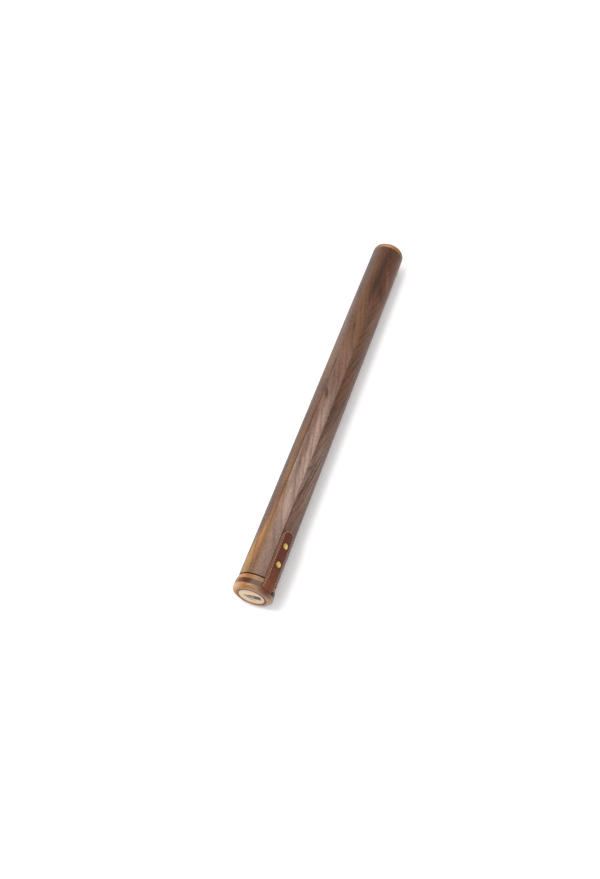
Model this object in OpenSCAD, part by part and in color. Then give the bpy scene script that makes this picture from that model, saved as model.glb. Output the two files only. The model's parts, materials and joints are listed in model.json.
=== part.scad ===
// Dip pen case: a coopered wooden tube with a laminated cap on a riveted leather strap hinge.
// The tube lies along +Y, with +Z up. The origin is on its axis, where the pen bore starts,
// at the shoulder behind the mouth's socket.

/* [Tube] */
// Outside diameter of the tube
tube_d = 25; // [24.5:0.5:28]
// Diameter of the bore that holds the pens
bore_d = 17.5; // [16.5:0.5:17.5]
// Length of the staves
tube_len = 304; // [200:1:340]
// Diameter of the wider socket cut into each end of the bore
socket_d = 19; // [18.8:0.1:19.2]
// Depth of the socket in the mouth, which takes the cap's tenon
mouth_depth = 3.4; // [3.2:0.1:4]
// Depth of the socket at the closed end, which takes the plug's spigot and a pad
end_depth = 7.5; // [6:0.5:12]

/* [End plug] */
// Thickness of the plug outside the tube
plug_h = 4.5; // [3:0.5:8]
// Radius of the plug's rounded edge
plug_round = 1.2; // [0.5:0.1:2]

/* [Cap] */
// Gap between the closed cap and the tube
seam_gap = 0.8; // [0.4:0.1:0.9]
// Thickness of the tapered collar next to the tube
collar_h = 3.2; // [3:0.1:4]
// Thickness of the dark band
band_h = 3.3; // [2.5:0.1:4]
// Thickness of the rounded rim
rim_h = 3.1; // [3:0.1:3.5]
// How far the band stands out beyond the tube, on the radius
band_proud = 0.75; // [0.5:0.05:1]
// How far the rim stands out beyond the band, on the radius
rim_proud = 0.15; // [0.1:0.05:0.4]
// Radius of the rim's rounded outer edge
rim_round = 2.6; // [2:0.1:2.7]
// Radial clearance of the tenon in the mouth socket
tenon_clearance = 0.4; // [0.4:0.05:0.5]
// How far the tenon reaches into the tube
tenon_reach = 3; // [2:0.1:3]

/* [Medallion] */
// Diameter of the pale medallion
medallion_d = 17; // [16:0.1:17]
// Width of the dark ring around it
ring_w = 1.5; // [0.6:0.1:1.5]
// Thickness of the medallion and its ring
medallion_h = 1.6; // [1:0.1:2]
// Depth of the inlaid mark
inlay_h = 0.4; // [0.2:0.1:0.6]
// Length of the nib in the mark
nib_len = 10; // [6:0.5:10.5]
// Direction in which the nib points, from the right, seen from outside
nib_turn = -170; // [-180:5:180]

/* [Hinge strap] */
// Direction of the strap around the tube, from straight up towards +X
strap_angle = 48; // [0:1:90]
// Width of the strap
strap_w = 8.8; // [8:0.1:9.2]
// How far the strap reaches along the tube
strap_reach = 36; // [34:0.1:50]
// Thickness of the outer leather
leather_t = 0.75; // [0.6:0.05:1]
// Thickness of the lining leather
lining_t = 0.5; // [0.4:0.05:0.6]
// How far each side of the strap spreads at the cap
flare_w = 1; // [0.4:0.05:1.2]
// Length over which it spreads
flare_len = 6; // [3:0.1:8]
// Where the trimmed corner of the tail starts, from the strap's middle
corner_start = 2.8; // [2:0.1:4]
// Length of the trimmed corner along the strap
corner_len = 3.4; // [2:0.1:4]

/* [Stitching] */
// Distance from one stitch to the next
stitch_pitch = 2; // [1.8:0.1:3]
// Length of one stitch
stitch_len = 1.45; // [1:0.05:1.6]
// Diameter of the thread
thread_d = 0.42; // [0.3:0.02:0.5]
// Distance from the strap's edge to the stitches
stitch_inset = 0.75; // [0.6:0.05:1]
// Lean of each stitch
stitch_lean = 24; // [0:1:40]

/* [Rivets] */
// Places of the rivets along the tube
rivet_places = [11.8, 25.1]; // [8:0.1:60]
// Diameter of the domed head
head_d = 4.2; // [3.5:0.1:5]
// Height of the dome
dome_h = 1; // [0.6:0.1:1.4]
// Thickness of the head's straight edge
head_edge = 0.25; // [0.2:0.05:0.4]
// Diameter of the shank
shank_d = 2; // [1.6:0.1:2.2]
// How far the shank reaches into the wall of the tube
shank_reach = 2.6; // [2:0.1:2.8]

/* [Magnets and pads] */
// Diameter of each magnet
magnet_d = 2; // [1.5:0.1:2]
// Thickness of each magnet
magnet_h = 2; // [1:0.1:2.4]
// Directions of the magnets, counted from the strap
magnet_angles = [135, 225]; // [100:5:260]
// Thickness of the felt pads
pad_h = 1.5; // [1:0.1:2]
// Diameter of the pad in the tenon
cap_pad_d = 14; // [10:0.5:15]

/* [Hidden] */
$fn = 96;
stave_count = 8;
stave_angle = 360 / stave_count;
glue = 0.02;
edge_break = 0.25;
tube_r = tube_d / 2;
glue_angle = asin(glue / tube_r);
bore_r = bore_d / 2;
socket_r = socket_d / 2;
band_r = tube_r + band_proud;
rim_r = band_r + rim_proud;
tenon_r = socket_r - tenon_clearance;
magnet_ring_r = (socket_r + tube_r) / 2;
recess_r = medallion_d / 2 + ring_w;
// heights along the tube's axis, with the mouth at 0 and the cap below it
collar_z = -seam_gap - collar_h;
band_z = collar_z - band_h;
face_z = band_z - rim_h;
spigot_z = tube_len - end_depth + pad_h;
tail_gap = 0.1;
tail_z = band_z + tail_gap;
// the strap's layers, as radii from the tube's axis
lining_r = tube_r + glue;
leather_r = lining_r + lining_t;
strap_r = leather_r + leather_t;
head_seat_r = strap_r - edge_break;
corner_w = strap_w / 2 + flare_w - corner_start;
strap_slot = 0.15;
tip_z = strap_reach - strap_w / 2;

// Lays the upright model down: its axis turns to +Y, and its +X side to the strap's direction.
// The start of the bore comes to the origin.
module lay() {
    translate([0, -mouth_depth, 0])
        rotate([0, strap_angle - 90, 0])
            rotate([-90, 0, 0])
                children();
}

// Points a child's +Z outwards from the axis on the strap's side, at a place along the tube.
module outwards(place, radius = 0) {
    translate([radius, 0, place])
        rotate([0, 90, 0])
            children();
}

// A disc whose lower edge is rounded and whose upper edge is lightly broken.
module rounded_disc(radius, height, round_r) {
    rotate_extrude()
        intersection() {
            union() {
                square([radius - round_r, height]);
                translate([radius - round_r, round_r])
                    circle(round_r);
                polygon([
                    [0, round_r],
                    [radius, round_r],
                    [radius, height - edge_break],
                    [radius - edge_break, height],
                    [0, height]
                ]);
            }
            square([radius, height]);
        }
}

// Section of the tube wall, stepped for the sockets at both ends.
module wall_section() {
    polygon([
        [socket_r, 0],
        [tube_r - edge_break, 0],
        [tube_r, edge_break],
        [tube_r, tube_len],
        [socket_r, tube_len],
        [socket_r, tube_len - end_depth],
        [bore_r, tube_len - end_depth],
        [bore_r, mouth_depth],
        [socket_r, mouth_depth]
    ]);
}

// Both magnets of one side, with their lower faces at a height along the axis.
module magnet_pair(place, diameter, height) {
    for (angle = magnet_angles)
        rotate([0, 0, angle])
            translate([magnet_ring_r, 0, place])
                cylinder(d = diameter, h = height);
}

// Holes for the rivets' shanks, through the strap and into the wall.
module shank_holes() {
    for (place = rivet_places)
        outwards(place, tube_r - shank_reach)
            cylinder(d = shank_d + 2 * glue, h = 2 * shank_reach);
}

// One stave, counted from the one under the strap.
module stave(number) {
    color("#6e4f3c")
        lay()
            difference() {
                rotate([0, 0, (number - 1.5) * stave_angle])
                    rotate_extrude(angle = stave_angle - glue_angle)
                        wall_section();
                if (number == 1)
                    shank_holes();
                magnet_pair(-magnet_h, magnet_d + 2 * glue, 2 * magnet_h + glue);
            }
}

module end_plug() {
    color("#c99a66")
        lay() {
            translate([0, 0, tube_len + plug_h])
                mirror([0, 0, 1])
                    rounded_disc(tube_r, plug_h, plug_round);
            translate([0, 0, spigot_z])
                cylinder(r = socket_r - glue, h = tube_len + plug_h / 2 - spigot_z);
        }
}

module base_pad() {
    color("#3f4a43")
        lay()
            translate([0, 0, tube_len - end_depth])
                cylinder(r = socket_r - glue, h = pad_h);
}

module tube_magnets() {
    color("silver")
        lay()
            magnet_pair(0, magnet_d, magnet_h);
}

// Outline of the strap, flat, with its length along +Y, grown by a margin on each side.
module strap_outline(grow = 0) {
    half = strap_w / 2 + grow;
    translate([-half, tail_z])
        square([2 * half, tip_z - tail_z]);
    translate([0, tip_z])
        circle(half);
    polygon([
        [-half - flare_w, tail_z],
        [half + flare_w, tail_z],
        [half, tail_z + flare_len],
        [-half, tail_z + flare_len]
    ]);
}

// The corner trimmed off the strap's tail, flat: all that lies beyond a slanting line.
module tail_corner() {
    translate([corner_start, tail_z])
        polygon([
            [-corner_w, -corner_len],
            [2 * corner_w, -corner_len],
            [2 * corner_w, 2 * corner_len]
        ]);
}

// Makes a flat shape of the strap a block that stands out from the axis on the strap's side.
module strap_block() {
    rotate([90, 0, 90])
        linear_extrude(2 * tube_r)
            children();
}

// One layer of the strap, wrapped round the tube between two radii.
module strap_layer(inner_r, outer_r) {
    difference() {
        intersection() {
            strap_block()
                difference() {
                    strap_outline();
                    tail_corner();
                }
            translate([0, 0, face_z])
                cylinder(r = outer_r, h = tube_len);
        }
        translate([0, 0, 2 * face_z])
            cylinder(r = inner_r, h = 2 * tube_len);
        shank_holes();
    }
}

module strap_lining() {
    color("#8a5a3c")
        lay()
            strap_layer(lining_r, leather_r);
}

module hinge_strap() {
    color("#6e3f2e")
        lay()
            difference() {
                strap_layer(leather_r, strap_r);
                for (place = rivet_places)
                    outwards(place, head_seat_r)
                        cylinder(d = head_d + 2 * glue, h = head_d);
            }
}

// Half the strap's width at a place along it.
function strap_half(place) =
    strap_w / 2 + flare_w * max(0, 1 - (place - tail_z) / flare_len);

// How far the strap reaches to one side at a place along it, with its corner trimmed.
function strap_side(side, place) =
    side < 0
        ? -strap_half(place)
        : min(strap_half(place), corner_start + (place - tail_z) * corner_w / corner_len);

// One stitch on the strap's surface: offset across the strap, place along it, turn in its plane.
module stitch(across, place, turn) {
    around = asin(across / strap_r);
    rotate([0, 0, around])
        translate([strap_r, 0, place])
            rotate([turn, 0, 0])
                cylinder(d = thread_d, h = stitch_len, center = true);
}

module strap_thread() {
    side_count = floor((tip_z - tail_z) / stitch_pitch);
    arc_r = strap_w / 2 - stitch_inset;
    arc_count = floor(arc_r * PI / stitch_pitch);
    arc_step = 180 / arc_count;
    color("#d8b79a")
        lay() {
            for (side = [-1, 1], i = [0 : side_count - 1]) {
                place = tip_z - (i + 0.5) * stitch_pitch;
                across = strap_side(side, place) - side * stitch_inset;
                stitch(across, place, -side * stitch_lean);
            }
            for (i = [0 : arc_count - 1]) {
                angle = (i + 0.5) * arc_step;
                stitch(arc_r * cos(angle), tip_z + arc_r * sin(angle), angle - stitch_lean);
            }
        }
}

// Section of a rivet, from its shank up to its domed head.
module rivet_section() {
    shank_len = head_seat_r - tube_r + shank_reach - glue;
    dome_r = (pow(head_d / 2, 2) + pow(dome_h, 2)) / (2 * dome_h);
    translate([0, -shank_len])
        square([shank_d / 2, shank_len + head_edge]);
    square([head_d / 2, head_edge]);
    intersection() {
        translate([0, head_edge + dome_h - dome_r])
            circle(dome_r);
        translate([0, head_edge])
            square([head_d, dome_h]);
    }
}

module rivets() {
    color("#d4b25a")
        lay()
            for (place = rivet_places)
                outwards(place, head_seat_r)
                    rotate_extrude()
                        rivet_section();
}

// Room for the strap's tail in the collar and the band.
module strap_recess() {
    difference() {
        strap_block()
            strap_outline(strap_slot);
        translate([0, 0, face_z])
            cylinder(r = tube_r - glue, h = tube_len);
    }
}

module cap_collar() {
    color("#c2875a")
        lay()
            difference() {
                translate([0, 0, collar_z])
                    cylinder(r1 = band_r, r2 = tube_r, h = collar_h);
                strap_recess();
                magnet_pair(-seam_gap - magnet_h - glue, magnet_d + 2 * glue, 2 * magnet_h);
            }
}

module cap_band() {
    color("#5b443c")
        lay()
            difference() {
                translate([0, 0, band_z])
                    cylinder(r = band_r, h = band_h);
                strap_recess();
            }
}

module cap_rim() {
    color("#c99560")
        lay()
            difference() {
                translate([0, 0, face_z])
                    rounded_disc(rim_r, rim_h, rim_round);
                translate([0, 0, face_z - medallion_h])
                    cylinder(r = recess_r, h = 2 * medallion_h);
            }
}

module cap_tenon() {
    color("#e2c294")
        lay()
            difference() {
                translate([0, 0, -seam_gap])
                    cylinder(r = tenon_r, h = seam_gap + tenon_reach);
                translate([0, 0, tenon_reach - pad_h])
                    cylinder(d = cap_pad_d + 2 * glue, h = 2 * pad_h);
            }
}

module cap_pad() {
    color("#3f4a43")
        lay()
            translate([0, 0, tenon_reach - pad_h])
                cylinder(d = cap_pad_d, h = pad_h);
}

module cap_magnets() {
    color("silver")
        lay()
            magnet_pair(-seam_gap - magnet_h, magnet_d, magnet_h);
}

module medallion_ring() {
    color("#4f382f")
        lay()
            translate([0, 0, face_z])
                difference() {
                    cylinder(r = recess_r - glue, h = medallion_h);
                    translate([0, 0, -medallion_h])
                        cylinder(d = medallion_d, h = 3 * medallion_h);
                }
}

// The nib, which points along +X: two arcs that meet at its tip, cut off at its tail.
module nib() {
    nib_w = nib_len * 9 / 20;
    flank_r = (pow(nib_len, 2) + pow(nib_w / 2, 2)) / nib_w;
    tail_len = nib_len * 3 / 10;
    breather_x = nib_len / 4;
    breather_d = nib_len / 7;
    slit_w = nib_len / 25;
    difference() {
        intersection() {
            translate([0, flank_r - nib_w / 2])
                circle(flank_r);
            translate([0, nib_w / 2 - flank_r])
                circle(flank_r);
            translate([-tail_len, -nib_w])
                square([2 * nib_len, 2 * nib_w]);
        }
        translate([breather_x, -slit_w / 2])
            square([nib_len, slit_w]);
        translate([breather_x, 0])
            circle(d = breather_d);
    }
}

// A curved stroke of ink that tapers to both ends, below the middle of its outer edge.
module ink_stroke() {
    outer_r = nib_len * 2 / 5;
    inner_r = nib_len / 2;
    inner_shift = nib_len / 6;
    difference() {
        circle(outer_r);
        translate([0, inner_shift])
            circle(inner_r);
    }
}

// The mark as seen from outside the cap: a nib that points to one side, above a stroke of ink.
module mark_outline() {
    nib_at = [nib_len / 3, nib_len / 10];
    translate(nib_at)
        rotate(nib_turn)
            nib();
    ink_stroke();
}

module mark_solid(height) {
    translate([0, 0, face_z])
        rotate([0, 0, 90 - strap_angle])
            mirror([0, 1, 0])
                linear_extrude(height)
                    mark_outline();
}

module medallion() {
    color("#efd9b2")
        lay()
            difference() {
                translate([0, 0, face_z])
                    cylinder(d = medallion_d - 2 * glue, h = medallion_h);
                translate([0, 0, -inlay_h])
                    mark_solid(2 * inlay_h);
            }
}

module emblem() {
    color("#4a4258")
        lay()
            mark_solid(inlay_h);
}

stave(1);  // stave_1
stave(2);  // stave_2
stave(3);  // stave_3
stave(4);  // stave_4
stave(5);  // stave_5
stave(6);  // stave_6
stave(7);  // stave_7
stave(8);  // stave_8
end_plug();
base_pad();
tube_magnets();
hinge_strap();
strap_lining();
strap_thread();
rivets();
cap_collar();
cap_band();
cap_rim();
cap_tenon();
cap_pad();
cap_magnets();
medallion_ring();
medallion();
emblem();
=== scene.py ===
"""Looks of the dip pen case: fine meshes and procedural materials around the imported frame.

The tube lies along +Y with +Z up. Shapes and textures are worked out in millimetres, and the
meshes are scaled to metres as they are made. Angles called turns go round the tube's axis from
the strap, as the CAD source counts them.
"""

import json
import math
import random
from collections import namedtuple
from functools import partialmethod

import bmesh
import bpy
import numpy as np
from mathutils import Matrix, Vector, noise


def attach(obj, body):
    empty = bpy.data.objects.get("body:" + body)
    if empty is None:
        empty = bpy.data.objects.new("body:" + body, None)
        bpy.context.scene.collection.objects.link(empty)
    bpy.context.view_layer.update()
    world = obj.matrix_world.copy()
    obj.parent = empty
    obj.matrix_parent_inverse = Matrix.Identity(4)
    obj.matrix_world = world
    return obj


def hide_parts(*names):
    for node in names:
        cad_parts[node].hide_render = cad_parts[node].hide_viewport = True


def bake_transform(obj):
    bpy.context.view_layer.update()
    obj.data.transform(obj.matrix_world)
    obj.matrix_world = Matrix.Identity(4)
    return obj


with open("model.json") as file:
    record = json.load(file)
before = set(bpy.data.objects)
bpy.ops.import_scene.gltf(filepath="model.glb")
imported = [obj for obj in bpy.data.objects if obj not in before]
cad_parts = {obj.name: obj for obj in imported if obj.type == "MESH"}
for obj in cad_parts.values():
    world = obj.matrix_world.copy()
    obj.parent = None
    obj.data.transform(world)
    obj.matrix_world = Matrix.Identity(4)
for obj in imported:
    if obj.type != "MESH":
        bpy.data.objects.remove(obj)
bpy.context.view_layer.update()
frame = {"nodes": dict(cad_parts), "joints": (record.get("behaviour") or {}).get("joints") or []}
nodes = frame["nodes"]

MM = 0.001
MERGE = 1e-7  # metres within which two vertices are one
GLUE = 0.02  # millimetres left between glued pieces
PAST = 1  # millimetres that a cutter reaches past the face it cuts
SEED = 7  # of the noise and the random draws

hinge = frame["joints"][0]
HINGE_AT = Vector(hinge["pos_m"]) / MM
ALONG = Vector((0, 1, 0))
OUT = Vector((HINGE_AT.x, 0, HINGE_AT.z)).normalized()
SIDE = ALONG.cross(OUT)
CENTRE = Vector((0, 0, 0))


# ---- sizes read from the frame


def corners_of(mesh):
    """Vertices of a mesh as millimetres across the strap, out from the axis and along it."""
    points = np.array([v.co for v in mesh.vertices], float) / MM
    return points @ np.array(SIDE), points @ np.array(OUT), points @ np.array(ALONG)


def size_of(node):
    """Smallest radius, largest radius, lowest y and highest y of a CAD node."""
    across, out, y = corners_of(nodes[node].data)
    radius = np.hypot(across, out)
    return radius.min(), radius.max(), y.min(), y.max()


_, TUBE_R, MOUTH_Y, TUBE_END_Y = size_of("stave_1")
BORE_R = size_of("stave_2")[0]
_, PAD_R, PAD_Y, PAD_TOP_Y = size_of("base_pad")
SOCKET_R = PAD_R + GLUE
PLUG_END_Y = size_of("end_plug")[3]
_, BAND_R, BAND_Y, COLLAR_Y = size_of("cap_band")
SEAM_Y = size_of("cap_collar")[3]
_, RIM_R, FACE_Y, _ = size_of("cap_rim")
MEDALLION_R, RING_R, _, RECESS_Y = size_of("medallion_ring")
_, TENON_R, _, TENON_TIP_Y = size_of("cap_tenon")
_, CAP_PAD_R, CAP_PAD_Y, _ = size_of("cap_pad")
INLAY_Y = size_of("emblem")[3]
LINING_R = size_of("strap_lining")[0]
LEATHER_R, STRAP_R, TAIL_Y, TIP_Y = size_of("hinge_strap")

# How far edges are rounded, where the frame doesn't say.
EDGE_BREAK = 0.25
PLUG_ROUND = 1.2
RIM_ROUND = 2.6
GLUED_EDGE = 0.03
BAND_EDGE = 0.04
INLAY_EDGE = 0.05
RECESS_EDGE = 0.08
SPIGOT_EDGE = 0.1
FELT_ROUND = 0.3

strap_across, _, strap_y = corners_of(nodes["strap_lining"].data)
STRAP_HALF = strap_across[strap_y > 0].max()
FLARE_W = -strap_across.min() - STRAP_HALF
FLARE_LEN = 6.0
CORNER_START = 2.8
CORNER_LEN = 3.4
CORNER_SOFTNESS = 0.25
TIP_CENTRE_Y = TIP_Y - STRAP_HALF
STRAP_SLOT = 0.15

rivet_across, rivet_out, rivet_y = corners_of(nodes["rivets"].data)
HEAD_R = rivet_across.max()
RIVET_PLACES = [rivet_y.min() + HEAD_R, rivet_y.max() - HEAD_R]
SHANK_R = 1.0
SHANK_FOOT = rivet_out.min()
DOME_TOP = rivet_out.max()
DOME_H = 1.0
HEAD_EDGE = 0.25
HEAD_SEAT = DOME_TOP - DOME_H - HEAD_EDGE

_, magnet_out, magnet_y = corners_of(nodes["tube_magnets"].data)
MAGNET_R = np.ptp(magnet_out) / 2
MAGNET_H = np.ptp(magnet_y)
MAGNET_EDGE = 0.08
MAGNET_TURNS = [math.radians(135), math.radians(225)]
MAGNET_RING_R = (SOCKET_R + TUBE_R) / 2


# ---- shapes as (vertices, faces)


def spot(across, out, y):
    """A point from its distances across the strap, out from the axis and along it."""
    return SIDE * across + OUT * out + ALONG * y


def wrapped(across, radius, y):
    """A point at a radius from the axis and a straight distance across from the strap's middle."""
    return spot(across, math.sqrt(radius**2 - across**2), y)


def spoke(turn):
    """The direction out from the axis at a turn from the strap."""
    return OUT * math.cos(turn) + SIDE * math.sin(turn)


def rounded(corners, steps=8):
    """Outline through corners of (x, y, fillet radius), with each fillet in a few steps."""
    outline = []
    for i, (x, y, fillet) in enumerate(corners):
        here = Vector((x, y))
        if fillet <= 0:
            outline.append(here)
            continue
        before = (Vector(corners[i - 1][:2]) - here).normalized()
        after = (Vector(corners[(i + 1) % len(corners)][:2]) - here).normalized()
        half = before.angle(after) / 2
        centre = here + (before + after).normalized() * (fillet / math.sin(half))
        first = here + before * (fillet / math.tan(half)) - centre
        last = here + after * (fillet / math.tan(half)) - centre
        start = math.atan2(first.y, first.x)
        sweep = math.atan2(last.y, last.x) - start
        sweep = (sweep + math.pi) % (2 * math.pi) - math.pi
        for step in range(steps + 1):
            angle = start + sweep * step / steps
            outline.append(centre + fillet * Vector((math.cos(angle), math.sin(angle))))
    return outline


def joined(rings, closed):
    """Faces between rings of points, with flat ends if the rings don't close on themselves."""
    size = len(rings[0])
    count = len(rings)
    faces = []
    for i in range(count if closed else count - 1):
        for k in range(size):
            a, b = i * size, (i + 1) % count * size
            faces.append((a + k, b + k, b + (k + 1) % size, a + (k + 1) % size))
    if not closed:
        faces.append(tuple(range(size)))
        faces.append(tuple((count - 1) * size + k for k in range(size)))
    return [p for ring in rings for p in ring], faces


def full_turn(count):
    """Evenly spaced turns all the way round."""
    return [2 * math.pi * i / count for i in range(count)]


FINE_TURN = full_turn(192)
MIDDLE_TURN = full_turn(96)
COARSE_TURN = full_turn(48)


def turned(outline_at, turns=FINE_TURN, closed=True, origin=CENTRE, axis=ALONG, start=OUT):
    """Turns an outline of (radius, height) points about an axis. It may change with the turn."""
    other = axis.cross(start)
    rings = []
    for turn in turns:
        outline = outline_at(turn) if callable(outline_at) else outline_at
        away = start * math.cos(turn) + other * math.sin(turn)
        rings.append([origin + away * p[0] + axis * p[1] for p in outline])
    return joined(rings, closed)


def disc(radius, low, high, edge, turns=FINE_TURN, origin=CENTRE):
    """A round plate along the tube's axis with lightly broken edges."""
    outline = [(0, low, 0), (radius, low, edge), (radius, high, edge), (0, high, 0)]
    return turned(rounded(outline, steps=4), turns, origin=origin)


def rod(start, direction, radius, length):
    """A plain round bar, used to cut a hole."""
    outline = [(0, 0), (radius, 0), (radius, length), (0, length)]
    sideways = direction.orthogonal().normalized()
    return turned(outline, COARSE_TURN, origin=start, axis=direction, start=sideways)


# ---- pieces


def placed(name, data):
    """A new object in the scene, for a mesh, a lamp or a lens."""
    made = bpy.data.objects.new(name, data)
    bpy.context.scene.collection.objects.link(made)
    return made


def build(name, *shapes):
    """One object from shapes, merged where points meet, with outward faces."""
    mesh = bmesh.new()
    for vertices, faces in shapes:
        made = [mesh.verts.new(v * MM) for v in vertices]
        for face in faces:
            mesh.faces.new([made[i] for i in face])
    bmesh.ops.remove_doubles(mesh, verts=mesh.verts, dist=MERGE)
    bmesh.ops.recalc_face_normals(mesh, faces=mesh.faces)
    data = bpy.data.meshes.new(name)
    mesh.to_mesh(data)
    mesh.free()
    return placed(name, data)


def cut(piece, *shapes):
    """Takes shapes out of a piece."""
    cutters = [build("cutter", shape) for shape in shapes]
    for cutter in cutters:
        change = piece.modifiers.new("cut", "BOOLEAN")
        change.operation = "DIFFERENCE"
        change.solver = "EXACT"
        change.object = cutter
    graph = bpy.context.evaluated_depsgraph_get()
    mesh = bpy.data.meshes.new_from_object(piece.evaluated_get(graph), depsgraph=graph)
    piece.modifiers.clear()
    piece.data = mesh
    mesh.name = piece.name
    for cutter in cutters:
        bpy.data.objects.remove(cutter)
    return piece


def smooth(piece, angle=35):
    """Smooth shading with crisp edges, and flat faces kept flat."""
    piece.data.shade_smooth()
    piece.data.set_sharp_from_angle(angle=math.radians(angle))
    return piece


def dress(piece, material, body, node):
    """Gives a piece its material, hides the CAD node that it stands for and, if it is rigid, puts
    it under its CAD body.
    """
    piece.data.materials.clear()
    piece.data.materials.append(material)
    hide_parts(node)
    if body:
        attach(piece, body)


def make(name, shapes, holes, material, body, node):
    """A finished rigid piece that stands for one CAD node."""
    piece = build(name, *shapes)
    if holes:
        cut(piece, *holes)
    dress(smooth(piece), material, body, node)


# ---- staves

STAVE_COUNT = 8
STAVE_TURN = 2 * math.pi / STAVE_COUNT
STAVE_COLUMNS = 20
GLUE_TURN = math.asin(GLUE / TUBE_R)
SEAM_W = 0.12
SEAM_DEPTH = 0.035
SEAM_STEPS = (0, 0.4, 1)


def stave_shape(number):
    """A stave of the tube, counted from the one under the strap, its outer edges barely eased."""
    first = (number - 1.5) * STAVE_TURN
    last = first + STAVE_TURN - GLUE_TURN
    ease = [SEAM_W * part / TUBE_R for part in SEAM_STEPS]
    inner = np.linspace(first + ease[-1], last - ease[-1], STAVE_COLUMNS + 2)[1:-1]
    turns = [first + e for e in ease] + list(inner) + [last - e for e in reversed(ease)]

    def wall(turn):
        from_edge = min(turn - first, last - turn) * TUBE_R
        outer_r = TUBE_R - SEAM_DEPTH * max(0, 1 - from_edge / SEAM_W)
        return rounded([
            (SOCKET_R, MOUTH_Y, 0), (outer_r, MOUTH_Y, EDGE_BREAK),
            (outer_r, TUBE_END_Y, GLUED_EDGE), (SOCKET_R, TUBE_END_Y, 0),
            (SOCKET_R, PAD_Y, 0), (BORE_R, PAD_Y, 0),
            (BORE_R, 0, 0), (SOCKET_R, 0, 0),
        ])

    return turned(wall, turns, closed=False)


def magnet_holes(low, high):
    """Holes for both magnets of one side, between two places along the tube."""
    return [
        rod(spoke(turn) * MAGNET_RING_R + ALONG * low, ALONG, MAGNET_R + GLUE, high - low)
        for turn in MAGNET_TURNS
    ]


def shank_holes():
    """Holes for the rivets' shanks, from the wall of the tube outwards."""
    return [rod(spot(0, SHANK_FOOT, y), OUT, SHANK_R + GLUE, TUBE_R) for y in RIVET_PLACES]


def make_staves():
    """The eight staves, each with its own piece of walnut."""
    for number in range(1, STAVE_COUNT + 1):
        middle = (number - 1) * STAVE_TURN
        holes = shank_holes() if number == 1 else []
        if any(abs(turn - middle) < STAVE_TURN / 2 for turn in MAGNET_TURNS):
            holes += magnet_holes(MOUTH_Y - PAST, MOUTH_Y + MAGNET_H + GLUE)
        name = f"walnut_stave_{number}"
        material = stave_wood(number, middle)
        make(name, [stave_shape(number)], holes, material, "tube", f"stave_{number}")


def make_tube_fittings():
    """The end plug, the felt pad at the bottom of the bore and the magnets in the mouth."""
    outline = rounded([
        (0, PAD_TOP_Y, 0), (SOCKET_R - GLUE, PAD_TOP_Y, SPIGOT_EDGE),
        (SOCKET_R - GLUE, TUBE_END_Y, 0), (TUBE_R, TUBE_END_Y, GLUED_EDGE),
        (TUBE_R, PLUG_END_Y, PLUG_ROUND), (0, PLUG_END_Y, 0),
    ], steps=12)
    plug = turned(outline)
    pad = disc(PAD_R, PAD_Y, PAD_TOP_Y, FELT_ROUND, MIDDLE_TURN)
    make("cherry_end_plug", [plug], [], disc_wood("cherry_plug"), "tube", "end_plug")
    make("felt_base_pad", [pad], [], felt(), "tube", "base_pad")
    add_magnets("tube_magnet_pair", MOUTH_Y, "tube", "tube_magnets")


def add_magnets(name, low, body, node):
    """Both magnets of one side."""
    shapes = [
        disc(MAGNET_R, low, low + MAGNET_H, MAGNET_EDGE, COARSE_TURN, spoke(turn) * MAGNET_RING_R)
        for turn in MAGNET_TURNS
    ]
    make(name, shapes, [], nickel(), body, node)


# ---- cap

RECESS_STEPS = 33


def strap_recess():
    """Room for the strap's tail in the collar and the band, as wide as the strap and its slot."""
    floor_r = TUBE_R - GLUE
    rings = []
    for y, flare in ((TAIL_Y, FLARE_W), (TAIL_Y + FLARE_LEN, 0), (SEAM_Y + PAST, 0)):
        half = STRAP_HALF + flare + STRAP_SLOT
        floor = [wrapped(x, floor_r, y) for x in np.linspace(-half, half, RECESS_STEPS)]
        rings.append(floor + [spot(half, 2 * TUBE_R, y), spot(-half, 2 * TUBE_R, y)])
    return joined(rings, closed=False)


def make_cap():
    """The cap's laminations, its tenon and felt pad, its magnets and its medallion."""
    make_collar()
    make_band()
    make_rim()
    make_tenon()
    add_magnets("cap_magnet_pair", SEAM_Y - MAGNET_H, "cap", "cap_magnets")
    make_medallion()


def make_collar():
    """The tapered collar, with the strap's recess and holes for the magnets."""
    outline = rounded([
        (0, COLLAR_Y, 0), (BAND_R, COLLAR_Y, BAND_EDGE),
        (TUBE_R, SEAM_Y, EDGE_BREAK), (0, SEAM_Y, 0),
    ])
    holes = [strap_recess()] + magnet_holes(SEAM_Y - MAGNET_H - GLUE, SEAM_Y + PAST)
    material = disc_wood("cherry_collar_wood")
    make("cherry_collar", [turned(outline)], holes, material, "cap", "cap_collar")


def make_band():
    """The dark band, with the strap's recess."""
    band = disc(BAND_R, BAND_Y, COLLAR_Y, BAND_EDGE)
    material = disc_wood("walnut_band_wood")
    make("walnut_band", [band], [strap_recess()], material, "cap", "cap_band")


def make_rim():
    """The rounded rim, recessed for the medallion and its ring."""
    outline = rounded([
        (0, RECESS_Y, 0), (RING_R + GLUE, RECESS_Y, 0),
        (RING_R + GLUE, FACE_Y, RECESS_EDGE), (RIM_R, FACE_Y, RIM_ROUND),
        (RIM_R, BAND_Y, EDGE_BREAK), (0, BAND_Y, 0),
    ], steps=16)
    material = disc_wood("cherry_rim_wood")
    make("cherry_rim", [turned(outline)], [], material, "cap", "cap_rim")


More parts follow.
